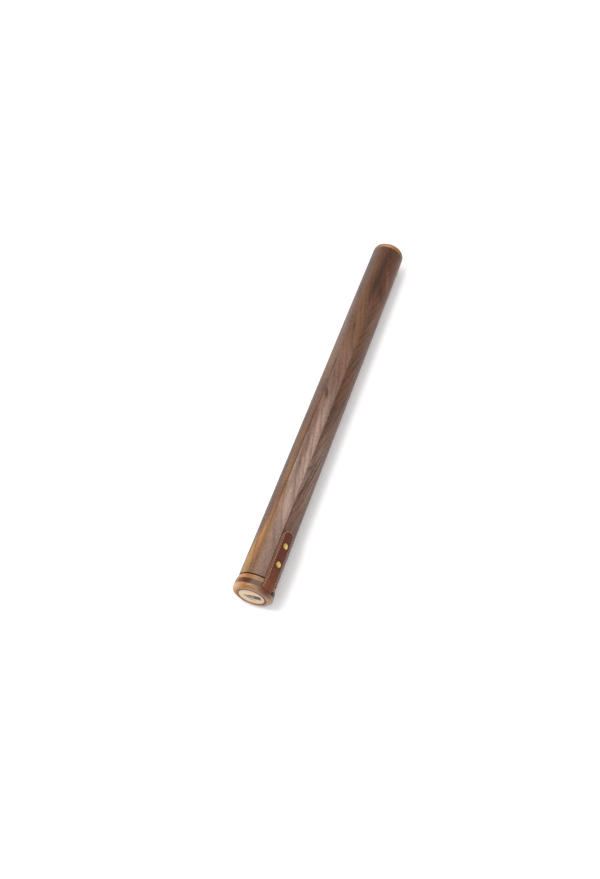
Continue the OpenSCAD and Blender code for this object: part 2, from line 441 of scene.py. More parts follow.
def make_tenon():
    """The tenon that centres the cap on the mouth, and the felt pad in its end."""
    outline = rounded([
        (0, SEAM_Y, 0), (TENON_R, SEAM_Y, 0),
        (TENON_R, TENON_TIP_Y, EDGE_BREAK), (CAP_PAD_R + GLUE, TENON_TIP_Y, SPIGOT_EDGE),
        (CAP_PAD_R + GLUE, CAP_PAD_Y, 0), (0, CAP_PAD_Y, 0),
    ])
    tenon = turned(outline)
    pad = disc(CAP_PAD_R, CAP_PAD_Y, TENON_TIP_Y, FELT_ROUND, MIDDLE_TURN)
    make("maple_tenon", [tenon], [], disc_wood("maple_tenon_wood"), "cap", "cap_tenon")
    make("felt_cap_pad", [pad], [], felt(), "cap", "cap_pad")


NIB_LEN = 10
NIB_TURN = math.radians(-170)
CURVE_STEPS = 40
BREATHER_STEPS = 32


def nib_outline(length):
    """Outline of the nib that lies along +x, with a slit that starts at a breather hole."""
    width = 0.45 * length
    flank_r = (length**2 + (width / 2) ** 2) / width
    slit = 0.02 * length
    hole_r = length / 14
    hole_x = 0.25 * length
    tail_x = -0.3 * length

    def flank(x):
        return math.sqrt(flank_r**2 - x**2) - flank_r + width / 2

    tip_x = math.sqrt(flank_r**2 - (flank_r - width / 2 + slit) ** 2)
    along = np.linspace(tail_x, tip_x, CURVE_STEPS)
    opening = math.asin(slit / hole_r)
    round_hole = np.linspace(-opening, opening - 2 * math.pi, BREATHER_STEPS)
    points = [(x, -flank(x)) for x in along]
    points += [(hole_x + hole_r * math.cos(a), hole_r * math.sin(a)) for a in round_hole]
    points += [(x, flank(x)) for x in reversed(along)]
    return points


def mark_outlines():
    """Outlines of the mark in the medallion's plane: a nib above the stroke it has drawn."""
    nib_x, nib_y = NIB_LEN / 3, NIB_LEN / 10
    cos, sin = math.cos(NIB_TURN), math.sin(NIB_TURN)
    nib = [(nib_x + x * cos - y * sin, nib_y + x * sin + y * cos) for x, y in nib_outline(NIB_LEN)]
    return [nib, ink_stroke(0.4 * NIB_LEN, 0.5 * NIB_LEN, NIB_LEN / 6)]


def ink_stroke(outer_r, inner_r, shift):
    """Outline of a crescent: a round disc less a larger one that lies a shift above it."""
    tip_y = (outer_r**2 - inner_r**2 + shift**2) / (2 * shift)
    outer_tip = math.acos(-tip_y / outer_r)
    inner_tip = math.acos((shift - tip_y) / inner_r)
    outer = np.linspace(-outer_tip, outer_tip, CURVE_STEPS)
    inner = np.linspace(inner_tip, -inner_tip, CURVE_STEPS)[1:-1]
    stroke = [(outer_r * math.sin(a), -outer_r * math.cos(a)) for a in outer]
    stroke += [(inner_r * math.sin(a), shift - inner_r * math.cos(a)) for a in inner]
    return stroke


def plate(outline, low, high):
    """A flat shape in the cap's face, between two places along the tube."""
    return joined([[Vector((x, y, z)) for x, z in outline] for y in (low, high)], closed=False)


def make_medallion():
    """The dark ring, the pale disc and the mark let into it."""
    outline = rounded([
        (MEDALLION_R, FACE_Y, INLAY_EDGE), (RING_R, FACE_Y, INLAY_EDGE),
        (RING_R, RECESS_Y, 0), (MEDALLION_R, RECESS_Y, 0),
    ], steps=4)
    material = disc_wood("walnut_ring_wood")
    make("walnut_ring", [turned(outline)], [], material, "cap", "medallion_ring")
    outlines = mark_outlines()
    medallion = disc(MEDALLION_R - GLUE, FACE_Y, RECESS_Y, INLAY_EDGE)
    holes = [plate(outline, FACE_Y - PAST, INLAY_Y) for outline in outlines]
    material = disc_wood("maple_medallion_wood")
    make("maple_medallion", [medallion], holes, material, "cap", "medallion")
    mark = [plate(outline, FACE_Y, INLAY_Y) for outline in outlines]
    make("inlaid_mark", mark, [], disc_wood("mark_wood"), "cap", "emblem")


# ---- strap, lining and stitching

# The leather's mesh: fine steps near the edge, for its rounding and the groove, then coarser ones.
STRAP_STEP = 0.25
TIP_SPOKES = 59
INNER_STEPS = 11
EDGE_STEPS = (0, 0.03, 0.08, 0.15, 0.22, 0.3, 0.42, 0.54, 0.65, 0.75, 0.85, 0.96, 1.1, 1.35)
SOFT_ANGLE = 50

STITCH_PITCH = 2.0
STITCH_LEN = 1.45
STITCH_INSET = 0.75
STITCH_LEAN = math.radians(24)
THREAD_R = 0.2
THREAD_STEPS = 15
THREAD_TWIST = 2.2  # half turns from the middle of a stitch to its end
THREAD_SUNK = 0.16
THREAD_RISE = 0.34
PLY_SIDES = 8
PLY_R = 0.58 * THREAD_R
WIND_R = 0.42 * THREAD_R

# Relief of the outer leather.
GROOVE_DEPTH = 0.07
GROOVE_W = 0.22
NEEDLE_DEPTH = 0.12
NEEDLE_R = 0.2
EDGE_ROUND = 0.3
CROWN = 0.04
CROWN_START = 1
CROWN_RUN = 2
SEAT_RISE = 1
UNEVEN = 0.015
UNEVEN_SCALE = (0.9, 0.7)
LINING_INSET = 0.06

RIVET_STEPS = 72
DOME_STEPS = 20
BLOWS = 7
FIRST_BLOW_LEAN = 0.05
BLOW_LEAN = 1.15
BLOW_DEPTH = 0.16


def strap_half(y):
    """Half the strap's width at a place along it, spreading softly towards its tail."""
    part = max(0, 1 - (y - TAIL_Y) / FLARE_LEN)
    return STRAP_HALF + FLARE_W * part**1.5


def trimmed_half(y):
    """How far the strap reaches on the side where its tail's corner is trimmed."""
    slope = (STRAP_HALF + FLARE_W - CORNER_START) / CORNER_LEN
    reaches = (strap_half(y), CORNER_START + (y - TAIL_Y) * slope)
    soft = sum(math.exp(-reach / CORNER_SOFTNESS) for reach in reaches)
    return -CORNER_SOFTNESS * math.log(soft)


def edge_distance(across, y):
    """How far a point of the flat strap lies inside its edge."""
    if y > TIP_CENTRE_Y:
        return STRAP_HALF - math.hypot(across, y - TIP_CENTRE_Y)
    return trimmed_half(y) - across if across > 0 else strap_half(y) + across


def stitch_places():
    """Middle of each stitch on the flat strap, and the angle of its thread from straight along."""
    places = []
    for i in range(int((TIP_CENTRE_Y - TAIL_Y) / STITCH_PITCH)):
        y = TIP_CENTRE_Y - (i + 0.5) * STITCH_PITCH
        places.append((STITCH_INSET - strap_half(y), y, STITCH_LEAN))
        places.append((trimmed_half(y) - STITCH_INSET, y, -STITCH_LEAN))
    arc_r = STRAP_HALF - STITCH_INSET
    arc_count = int(math.pi * arc_r / STITCH_PITCH)
    for i in range(arc_count):
        angle = (i + 0.5) * math.pi / arc_count
        x, y = arc_r * math.cos(angle), TIP_CENTRE_Y + arc_r * math.sin(angle)
        places.append((x, y, angle - STITCH_LEAN))
    return places


def needle_holes(places):
    """Both ends of each stitch on the flat strap."""
    half_len = STITCH_LEN / 2
    return [
        (x - end * math.sin(turn) * half_len, y + end * math.cos(turn) * half_len)
        for x, y, turn in places
        for end in (-1, 1)
    ]


def leather_top(across, y, distance, holes):
    """Radius of the strap's outer face, with its edge, groove, needle holes and rivet seats."""
    radius = STRAP_R - CROWN
    radius += CROWN * min(1, max(0, distance - CROWN_START) / CROWN_RUN)
    if distance < EDGE_ROUND:
        radius -= EDGE_ROUND * (1 - math.sqrt(1 - (1 - distance / EDGE_ROUND) ** 2))
    radius -= GROOVE_DEPTH * math.exp(-(((distance - STITCH_INSET) / GROOVE_W) ** 2))
    radius += UNEVEN * noise.noise(Vector((across * UNEVEN_SCALE[0], y * UNEVEN_SCALE[1], SEED)))
    if distance < 2 * STITCH_INSET:
        nearest = min((across - x) ** 2 + (y - v) ** 2 for x, v in holes)
        radius -= NEEDLE_DEPTH * math.exp(-nearest / NEEDLE_R**2)
    for place in RIVET_PLACES:
        rise = max(0, math.hypot(across, y - place) - HEAD_R) / SEAT_RISE
        if rise < 1:
            seat = math.hypot(HEAD_SEAT - GLUE, across)
            radius = min(radius, seat + (radius - seat) * (rise * rise * (3 - 2 * rise)))
    return radius


def strap_spokes(inset):
    """Lines over the flat strap, each from its edge to its middle, from the tail round the tip."""
    side_y = list(np.linspace(TAIL_Y, TIP_CENTRE_Y, round((TIP_CENTRE_Y - TAIL_Y) / STRAP_STEP)))
    spokes = [(-strap_half(y) + inset, y, 0, y) for y in side_y]
    arc_r = STRAP_HALF - inset
    for angle in np.linspace(math.pi, 0, TIP_SPOKES + 2)[1:-1]:
        x, y = arc_r * math.cos(angle), TIP_CENTRE_Y + arc_r * math.sin(angle)
        spokes.append((x, y, 0, TIP_CENTRE_Y))
    return spokes + [(trimmed_half(y) - inset, y, 0, y) for y in reversed(side_y)]


def strap_shape(inner_r, top, inset=0.0):
    """A layer of the strap. top gives its outer radius at a place and a distance from the edge."""
    spokes = strap_spokes(inset)
    top_grid, low_grid = [], []
    for x, y, mid_x, mid_y in spokes:
        length = math.hypot(mid_x - x, mid_y - y)
        steps = list(EDGE_STEPS) + list(np.linspace(EDGE_STEPS[-1], length, INNER_STEPS + 1))[1:]
        for step in steps:
            part = step / length
            across, along = x + (mid_x - x) * part, y + (mid_y - y) * part
            top_grid.append(wrapped(across, top(across, along, step), along))
            low_grid.append(wrapped(across, inner_r, along))
    return top_grid + low_grid, grid_faces(len(spokes), len(top_grid) // len(spokes))


def grid_faces(rows, columns):
    """Faces of two grids of vertices, one over the other, and of the walls that join them."""
    low = rows * columns
    faces = []
    for i in range(rows - 1):
        for k in range(columns - 1):
            a, b = i * columns + k, (i + 1) * columns + k
            faces.append((a, b, b + 1, a + 1))
            faces.append((low + a, low + a + 1, low + b + 1, low + b))
        a, b = i * columns, (i + 1) * columns
        faces.append((a, low + a, low + b, b))
    for i in (0, rows - 1):
        for k in range(columns - 1):
            a = i * columns + k
            faces.append((a, a + 1, low + a + 1, low + a))
    return faces


def thread_shapes(places):
    """Each stitch as two plies wound round each other, its ends sunk in the needle holes."""
    shapes = []
    for index, place in enumerate(places):
        for start in (0, math.pi):
            parts = np.linspace(-1, 1, THREAD_STEPS)
            rings = [ply_ring(place, part, start + index) for part in parts]
            shapes.append(joined(rings, closed=False))
    return shapes


def ply_ring(place, part, start):
    """One ring of a ply, at a part of the stitch from -1 to 1."""
    across, y, turn = place
    direction = (-math.sin(turn), math.cos(turn))
    reach = part * STITCH_LEN / 2
    lift = -THREAD_SUNK + THREAD_RISE * math.sqrt(max(0, 1 - part**4))
    wind = start + THREAD_TWIST * part * math.pi
    side_step = WIND_R * math.cos(wind)
    x = across + direction[0] * reach + direction[1] * side_step
    v = y + direction[1] * reach - direction[0] * side_step
    middle_r = STRAP_R - CROWN - GROOVE_DEPTH + lift + WIND_R * math.sin(wind)
    ring = []
    for angle in full_turn(PLY_SIDES):
        sideways = PLY_R * math.cos(angle)
        ring.append(wrapped(
            x + direction[1] * sideways,
            middle_r + PLY_R * math.sin(angle),
            v - direction[0] * sideways,
        ))
    return ring


def keep_flat_places(piece):
    """Stores each vertex's place on the flat strap, so that the pattern bends with the leather."""
    mesh = piece.data
    across, out, y = corners_of(mesh)
    flat = np.stack([across, y, np.hypot(across, out)], 1)
    mesh.attributes.new("flat", "FLOAT_VECTOR", "POINT").data.foreach_set("vector", flat.ravel())
    edge = [edge_distance(a, v) for a, v in zip(across, y)]
    mesh.attributes.new("edge", "FLOAT", "POINT").data.foreach_set("value", edge)


def hammer(rivets, dome_r):
    """Flattens the rivets' domes a little where the hammer has struck, once in the middle."""
    draw = random.Random(SEED)
    for place in RIVET_PLACES:
        centre = spot(0, DOME_TOP - dome_r, place)
        blows = []
        for blow in range(BLOWS):
            aside = BLOW_LEAN * (0.5 + 0.5 * draw.random()) if blow else FIRST_BLOW_LEAN
            turn = (blow + 0.6 * draw.random()) * 2 * math.pi / (BLOWS - 1)
            lean = (SIDE * math.cos(turn) + ALONG * math.sin(turn)) * aside
            blows.append(((OUT + lean).normalized(), dome_r - BLOW_DEPTH * (0.5 + draw.random())))
        for vertex in rivets.data.vertices:
            away = vertex.co / MM - centre
            if away.length > 2 * dome_r or (vertex.co / MM).dot(OUT) < HEAD_SEAT + HEAD_EDGE / 2:
                continue
            for blow, reach in blows:
                away -= blow * max(0, away.dot(blow) - reach)
            vertex.co = (centre + away) * MM


def make_strap():
    """The strap, its lining and its stitching, and the rivets that hold it."""
    places = stitch_places()
    holes = needle_holes(places)
    outer_shape = strap_shape(LEATHER_R, lambda x, y, edge: leather_top(x, y, edge, holes))
    inner_shape = strap_shape(LINING_R, lambda x, y, edge: LEATHER_R - GLUE / 2, LINING_INSET)
    strap = cut(build("leather_strap", outer_shape), *shank_holes())
    lining = cut(build("leather_lining", inner_shape), *shank_holes())
    thread = build("waxed_thread", *thread_shapes(places))
    dressing = (
        (strap, strap_leather(), "leather", "hinge_strap"),
        (lining, lining_leather(), "lining", "strap_lining"),
        (thread, waxed_thread(), "thread", "strap_thread"),
    )
    for piece, material, slot, node in dressing:
        smooth(piece, SOFT_ANGLE)
        keep_flat_places(piece)
        dress(piece, material, None, node)
        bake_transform(piece)
    make_rivets()


def make_rivets():
    """Two domed rivets whose shanks reach into the tube's wall."""
    dome_r = (HEAD_R**2 + DOME_H**2) / (2 * DOME_H)
    outline = [(0, SHANK_FOOT), (SHANK_R, SHANK_FOOT), (SHANK_R, HEAD_SEAT), (HEAD_R, HEAD_SEAT)]
    half_angle = math.asin(HEAD_R / dome_r)
    for angle in np.linspace(half_angle, 0, DOME_STEPS):
        outline.append((dome_r * math.sin(angle), DOME_TOP - dome_r * (1 - math.cos(angle))))
    turns = full_turn(RIVET_STEPS)
    rivets = build("brass_rivets", *[
        turned(outline, turns, origin=spot(0, 0, place), axis=OUT, start=ALONG)
        for place in RIVET_PLACES
    ])
    hammer(rivets, dome_r)
    dress(smooth(rivets), brass(), "tube", "rivets")


# ---- materials


def shade(red, green, blue):
    """A colour for a shader from its usual 0 to 255 numbers."""
    return tuple(linear(c / 255) for c in (red, green, blue)) + (1.0,)


def linear(value):
    """One part of a colour without its display curve."""
    return value / 12.92 if value <= 0.04045 else ((value + 0.055) / 1.055) ** 2.4


class Paint:
    """A material being mixed: it adds nodes and joins their sockets. Lengths are millimetres."""

    def __init__(self, name):
        self.material = bpy.data.materials.new(name)
        self.material.use_nodes = True
        self.tree = self.material.node_tree
        self.surface = next(n for n in self.tree.nodes if n.type == "BSDF_PRINCIPLED")
        self.seed = SEED

    def put(self, socket, value):
        """Links a socket to another, or sets it to a plain value."""
        if isinstance(value, bpy.types.NodeSocket):
            self.tree.links.new(value, socket)
        else:
            socket.default_value = value

    def add(self, kind, inputs, output=0, **settings):
        """Adds a node and gives back one of its outputs."""
        made = self.tree.nodes.new("ShaderNode" + kind)
        for key, value in settings.items():
            setattr(made, key, value)
        for key, value in inputs.items():
            self.put(made.inputs[key], value)
        return made.outputs[output]

    def math(self, operation, *values):
        """Arithmetic on numbers."""
        return self.add("Math", dict(enumerate(values)), operation=operation)

    # scaled(value, by, shift) is a value times another, with a shift added.
    plus = partialmethod(math, "ADD")
    minus = partialmethod(math, "SUBTRACT")
    times = partialmethod(math, "MULTIPLY")
    scaled = partialmethod(math, "MULTIPLY_ADD")

    def vector(self, operation, *values, output=0):
        """Arithmetic on vectors. Output 1 is the one for plain numbers."""
        return self.add("VectorMath", dict(enumerate(values)), output, operation=operation)

    def dot(self, vector, direction):
        """How far a point lies along a direction."""
        return self.vector("DOT_PRODUCT", vector, tuple(direction), output=1)

    def combine(self, *values):
        """A vector from three numbers."""
        return self.add("CombineXYZ", dict(enumerate(values)))

    def swing(self, value, width):
        """A noise of 0 to 1 as a swing of half a width either way."""
        return self.scaled(value, width, -width / 2)

    def lit(self, colour, light):
        """A colour made lighter or darker."""
        return self.add("VectorMath", {0: colour, "Scale": light}, operation="SCALE")

    def flat_place(self):
        """Where a point of the leather or thread lies on the strap before it is bent round."""
        return self.add("Attribute", {}, 1, attribute_name="flat")

    def place(self):
        """Where a point lies at rest in the CAD's frame, in millimetres."""
        found = self.add("TexCoord", {}, "Object")
        return self.vector("MULTIPLY", found, (1 / MM, 1 / MM, 1 / MM))

    def noise(self, vector, scale, detail=2.0, roughness=0.5):
        """Smooth noise with its own scale along each direction, in cells for each millimetre."""
        self.seed += 1
        offset = (self.seed * 7.31 % 50, self.seed * 3.77 % 50, self.seed * 5.13 % 50)
        scaled = self.vector("MULTIPLY_ADD", vector, scale, offset)
        settings = {"Vector": scaled, "Scale": 1.0, "Detail": detail, "Roughness": roughness}
        return self.add("TexNoise", settings, "Fac")

    def step(self, value, low, high, start=0.0, end=1.0, kind="SMOOTHSTEP"):
        """A soft step from start to end as the value goes from low to high."""
        inputs = {0: value, 1: low, 2: high, 3: start, 4: end}
        return self.add("MapRange", inputs, interpolation_type=kind)

    def blend(self, factor, first, second, kind="MIX"):
        """A mix of two colours, all second where the factor is 1."""
        inputs = {0: factor, 6: first, 7: second}
        return self.add("Mix", inputs, 2, data_type="RGBA", blend_type=kind)

    def ramp(self, value, stops):
        """Colours at places from 0 to 1."""
        made = self.add("ValToRGB", {0: value}).node
        points = made.color_ramp.elements
        for _ in stops[2:]:
            points.new(0.5)
        for point, (at, colour) in zip(points, stops):
            point.position = at
            point.color = colour
        return made.outputs[0]

    def bump(self, height, depth):
        """Relief from a height of 0 to 1 that stands for a depth in millimetres."""
        normal = self.add("Bump", {"Height": height, "Distance": depth * MM, "Strength": 1.0})
        self.put(self.surface.inputs["Normal"], normal)

    def finish(self, colour, roughness, **others):
        """Connects the surface and gives back the finished material."""
        self.put(self.surface.inputs["Base Color"], colour)
        self.put(self.surface.inputs["Roughness"], roughness)
        for name, value in others.items():
            self.put(self.surface.inputs[name.replace("_", " ")], value)
        return self.material


def grey(value):
    """A neutral colour."""
    return (value, value, value, 1.0)


Streak = namedtuple("Streak", "across along lean half_width half_length colour strength")
Patch = namedtuple("Patch", "centre radius colour strength")

WARM = (1.0, 0.84, 0.66, 1.0)
GRAIN_DEPTH = 0.03
RING_W = 2.6
RING_BEND = 9.0
RING_WOBBLE = 1.2
RING_DARK = 0.26
RING_PROFILE = (
    (0.0, grey(0.35)), (0.1, grey(0.0)), (0.55, grey(0.15)), (0.93, grey(1.0)), (1.0, grey(0.35)),
)
PORE_DARK = 0.3
SEAM_FADE = (0.16, 0.02)
VARNISH_ROUGHNESS = 0.16


class Wood(Paint):
    """Solid wood cut from a board, with its grain and its face along two directions."""

    def __init__(self, name, grain, out, seed, slant):
        super().__init__(name)
        self.seed = seed * 20
        self.grain = grain
        self.here = self.place()
        self.x = self.dot(self.here, grain.cross(out))
        self.y = self.dot(self.here, grain)
        self.z = self.dot(self.here, out)
        lean = self.times(self.y, math.tan(math.radians(slant)))
        self.leaned = self.minus(self.x, lean)
        fibre = self.combine(self.leaned, self.y, self.z)
        # Each noise has its own scale, stretched along the fibres. Their order sets their seeds.
        self.broad = self.noise(fibre, (0.14, 0.014, 0.14), 3)
        self.strand = self.noise(fibre, (0.8, 0.03, 0.8), 4, 0.6)
        self.hair = self.noise(fibre, (4.5, 0.14, 4.5), 3, 0.6)
        self.pore = self.step(self.noise(fibre, (6.5, 0.45, 6.5), 1), 0.64, 0.74)
        self.fleck = self.noise(fibre, (1.7, 0.5, 1.7), 3, 0.65)
        self.ripple = self.noise(self.here, (0.45, 0.8, 0.45), 3)
        self.bend = self.noise(fibre, (0.06, 0.011, 0.06), 2)

    def rings(self, pith):
        """Growth rings about the pith, 1 in the dark late wood."""
        from_pith = self.vector(
            "SUBTRACT", self.combine(self.leaned, 0.0, self.z), (pith[0], 0, pith[1])
        )
        at = self.vector("LENGTH", from_pith, output=1)
        at = self.plus(at, self.swing(self.bend, RING_BEND))
        at = self.plus(at, self.swing(self.strand, RING_WOBBLE))
        return self.ramp(self.math("FRACT", self.math("DIVIDE", at, RING_W)), RING_PROFILE)

    def tone(self, tones, span):
        """The colour along the grain, from pairs of a place within span and its colour."""
        low, high = span
        along = self.step(self.y, low, high, kind="LINEAR")
        return self.ramp(along, [((at - low) / (high - low), colour) for at, colour in tones])

    def streaked(self, colour, streak):
        """The colour with a soft streak of another along the grain."""
        run = self.minus(self.y, streak.along)
        aside = self.minus(self.x, streak.across)
        aside = self.minus(aside, self.times(run, streak.lean))
        aside = self.plus(aside, self.swing(self.broad, 2.4 * streak.half_width))
        across = self.math("DIVIDE", aside, streak.half_width)
        along = self.math("DIVIDE", run, streak.half_length)
        away = self.vector("LENGTH", self.combine(across, along, 0.0), output=1)
        strength = streak.strength
        fibrous = self.scaled(self.strand, 0.8 * strength, 0.6 * strength)
        amount = self.times(self.step(away, 1.2, 0.3), fibrous)
        return self.blend(amount, colour, streak.colour)

    def patched(self, colour, patch):
        """The colour with a round soft spot of another."""
        away = self.vector("DISTANCE", self.here, tuple(patch.centre), output=1)
        amount = self.step(away, patch.radius, 0.3 * patch.radius, 0.0, patch.strength)
        return self.blend(amount, colour, patch.colour)

    def warmed(self, colour, contrast):
        """The colour, warmer in the broad bands of the board."""
        amount = self.step(self.broad, 0.35, 0.7, 0.0, 0.5 * contrast)
        return self.blend(amount, colour, self.blend(1.0, colour, WARM, "MULTIPLY"))

    def figure(self, ring, contrast, pores):
        """Light and dark of the board's face, about 1."""
        light = self.scaled(self.broad, 0.5 * contrast, 1.0 - 0.25 * contrast)
        for part, share in (
            (self.strand, 0.7), (self.fleck, 1.0), (self.hair, 0.5), (self.ripple, 0.4),
        ):
            light = self.plus(light, self.swing(part, share * contrast))
        light = self.minus(light, self.times(ring, RING_DARK * contrast))
        return self.minus(light, self.times(self.pore, PORE_DARK * pores))

    def end_grain(self, end_light):
        """How light the surface is, less where it is cut across the grain."""
        facing = self.dot(self.add("TexCoord", {}, "Normal"), self.grain)
        return self.step(self.math("ABSOLUTE", facing), 0.6, 0.95, 1.0, end_light)

    def seams(self, half, seam_light):
        """How light the surface is, less in a fine line at each side of a stave."""
        start, end = (half - inside for inside in SEAM_FADE)
        return self.step(self.math("ABSOLUTE", self.x), start, end, 1.0, seam_light)

    def relief(self, ring, pores):
        """Raised fibres, sunk pores and slightly sunk late wood."""
        hair = self.times(self.hair, 0.6)
        height = self.minus(hair, self.times(self.pore, pores))
        self.bump(self.minus(height, self.times(ring, 0.2)), GRAIN_DEPTH)

    def rough(self, roughness):
        """Roughness, more in the pores."""
        fibres = self.scaled(self.hair, 0.2, roughness - 0.1)
        return self.plus(fibres, self.times(self.pore, 0.2))


def wood(
    name, grain, out, seed, tones, span, slant=0.0, pith=(-14, -22), contrast=1.0, pores=1.0,
    streaks=(), patches=(), seam=None, seam_light=0.55, end_light=0.72, roughness=0.45,
    specular=0.22, varnish=0.0,
):
    """A finished wood, with its fibres along grain and the board's face towards out.

    tones are colours at places along the grain, within span. slant is the lean of the fibres in
    degrees. pith is where the growth rings centre, across the board and out of it. seam is half
    the width of a glued stave.
    """
    board = Wood(name, grain, out, seed, slant)
    colour = board.tone(tones, span)
    for streak in streaks:
        colour = board.streaked(colour, Streak(*streak))
    for patch in patches:
        colour = board.patched(colour, patch)
    colour = board.warmed(colour, contrast)
    ring = board.rings(pith)
    light = board.times(board.figure(ring, contrast, pores), board.end_grain(end_light))
    if seam:
        light = board.times(light, board.seams(seam, seam_light))
    board.relief(ring, pores)
    return board.finish(
        board.lit(colour, light), board.rough(roughness), Specular_IOR_Level=specular,
        Coat_Weight=varnish, Coat_Roughness=VARNISH_ROUGHNESS,
    )


# Walnut and its sapwood.
ASH = shade(166, 140, 124)
FAWN = shade(136, 113, 102)
ROSE = shade(118, 94, 84)
HONEY = shade(122, 86, 54)
OLIVE = shade(114, 88, 56)
CHESTNUT = shade(112, 83, 69)
BROWN = shade(102, 78, 68)
UMBER = shade(99, 68, 48)
RUST = shade(94, 61, 43)
DUSK = shade(88, 65, 55)
BARK = shade(82, 48, 25)
MAHOGANY = shade(82, 40, 14)
COFFEE = shade(72, 42, 26)
NIGHT = shade(50, 28, 17)
SAPWOOD_PALE = shade(146, 116, 68)
SAPWOOD = shade(145, 98, 55)

# The light woods of the cap and the plug.
CHERRY_PALE = shade(196, 160, 118)
CHERRY_GOLD = shade(178, 124, 70)
CHERRY_BUFF = shade(156, 126, 98)
CHERRY_GREY = shade(146, 118, 94)
CHERRY_TAN = shade(140, 106, 76)
CHERRY_AMBER = shade(142, 94, 44)
CHERRY_DEEP = shade(122, 92, 68)
# A deep red that is painted shadow on the rim under the strap's tail.
CHERRY_SHADED_RED = shade(90, 42, 18)
MAPLE_SAND = shade(206, 180, 140)
MAPLE_PALE = shade(200, 176, 142)
MAPLE_DEEP = shade(196, 166, 126)
MAPLE_DUSK = shade(190, 162, 126)

# The dark band and the dyed wood of the mark.
BAND_PALE = shade(156, 130, 112)
BAND_RED = shade(126, 80, 48)
BAND_GREY = shade(98, 78, 72)
BAND_DARK = shade(74, 34, 11)
BAND_SHADE = shade(64, 50, 44)
INK_VIOLET = shade(58, 48, 70)
INK_OLIVE = shade(62, 58, 38)

# The strap and its stitching.
LEATHER_TAIL = shade(112, 60, 32)
LEATHER_MID = shade(92, 42, 19)
LEATHER_TIP = shade(90, 38, 19)
LEATHER_MOTTLE = shade(72, 36, 26)
LEATHER_RUBBED_AND_LIT_EDGE = shade(140, 100, 80)
LEATHER_BURNISHED_AND_SHADED_EDGE = shade(44, 26, 20)
LINING_PALE = shade(158, 110, 78)
LINING_DARK = shade(132, 88, 60)
THREAD_PALE = shade(170, 130, 110)
THREAD_DARK = shade(146, 106, 88)

# Metal, felt and the sheet below.
BRASS_BRIGHT = shade(204, 176, 108)
BRASS_TARNISHED = shade(150, 116, 62)
BRASS_RIM_TARNISH_AND_SHADE = shade(104, 74, 38)
NICKEL_BRIGHT = shade(206, 206, 204)
NICKEL_DULL = shade(176, 176, 178)
FELT_PALE = shade(84, 98, 86)
FELT_DARK = shade(46, 58, 50)
SHEET_WHITE = shade(254, 254, 254)
SHEET_SHADE = shade(251, 251, 252)

# Tones lie along a stave from the mouth. Streaks are listed as Streak names their values.
STAVE_SPAN = (0, 300)
